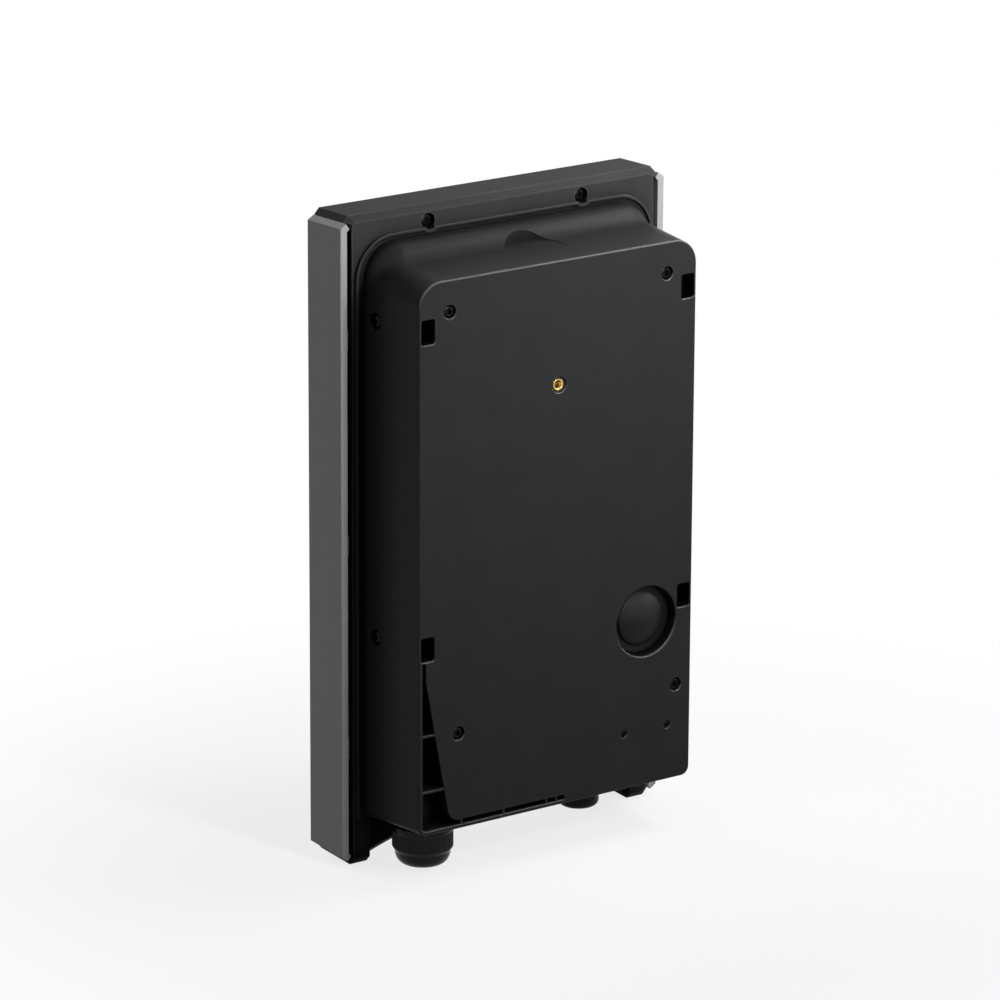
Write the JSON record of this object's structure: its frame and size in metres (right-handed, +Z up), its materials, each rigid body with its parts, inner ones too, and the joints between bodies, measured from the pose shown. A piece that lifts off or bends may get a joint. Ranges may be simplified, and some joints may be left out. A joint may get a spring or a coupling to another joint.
{
  "type": "ev wallbox",
  "caption": "Wall-hung charging box: framed slab with aluminium side trims, moulded rear housing with hook slots, rubber plugs and a ribbed cable gland that turns.",
  "frame": {"origin": "middle of the flat face that stands against the wall, half way up the front slab", "axes": "+Y points at the wall and is the wall face's outward normal, +Z is up, the front panel faces -Y"},
  "size_m": [0.1882, 0.073, 0.3224],
  "materials": {
    "black_plastic": "finely textured black moulding",
    "gloss_black": "gloss black",
    "light_guide": "frosted white light guide",
    "aluminium": "grey anodised, satin",
    "rubber": "matt black rubber",
    "brass": "bright turned brass",
    "gland_nylon": "satin black nylon",
    "black_screw": "blackened steel",
    "steel": "zinc-plated sheet",
    "circuit_board": "green solder mask",
    "terminal_green": "moulded green"
  },
  "bodies": {
    "box": {"front_frame": "black_plastic", "front_panel": "gloss_black", "status_light": "light_guide", "trim_left": "aluminium", "trim_right": "aluminium", "rear_housing": "black_plastic", "housing_seal": "rubber", "brass_insert": "brass", "entry_plug": "rubber", "blank_plug": "rubber", "gland_gasket": "rubber", "gland_body": "gland_nylon", "frame_screw_1": "black_screw", "frame_screw_2": "black_screw", "plate_screw_1": "black_screw", "plate_screw_2": "black_screw", "plate_screw_3": "black_screw", "plate_screw_4": "black_screw", "side_screw_1": "black_screw", "side_screw_2": "black_screw", "side_screw_3": "black_screw", "side_screw_4": "black_screw", "clamp_screw_1": "black_screw", "clamp_screw_2": "black_screw", "carrier_plate": "steel", "standoff_1": "steel", "standoff_2": "steel", "standoff_3": "steel", "standoff_4": "steel", "spacer_1": "gland_nylon", "spacer_2": "gland_nylon", "spacer_3": "gland_nylon", "spacer_4": "gland_nylon", "main_board": "circuit_board", "relay_1": "gloss_black", "relay_2": "gloss_black", "current_sensor": "gland_nylon", "terminal_block": "terminal_green", "control_board": "circuit_board", "cord_clamp": "gland_nylon"},
    "gland_grip": {"gland_sleeve": "rubber"},
    "gland_cap": {"gland_nut": "gland_nylon"}
  },
  "joints": [
    {"name": "gland_travel", "type": "slide", "parent": "box", "child": "gland_grip", "axis": [0, 0, -1], "range_m": [0, 0.003]},
    {"name": "gland_turn", "type": "hinge", "parent": "gland_grip", "child": "gland_cap", "pos_m": [0.061, -0.025, -0.148], "axis": [0, 0, -1], "range_deg": [0, 720]}
  ],
  "couplings": [
    {"joint": "gland_travel", "follows": "gland_turn", "m_per_rad": 0.0002387}
  ]
}
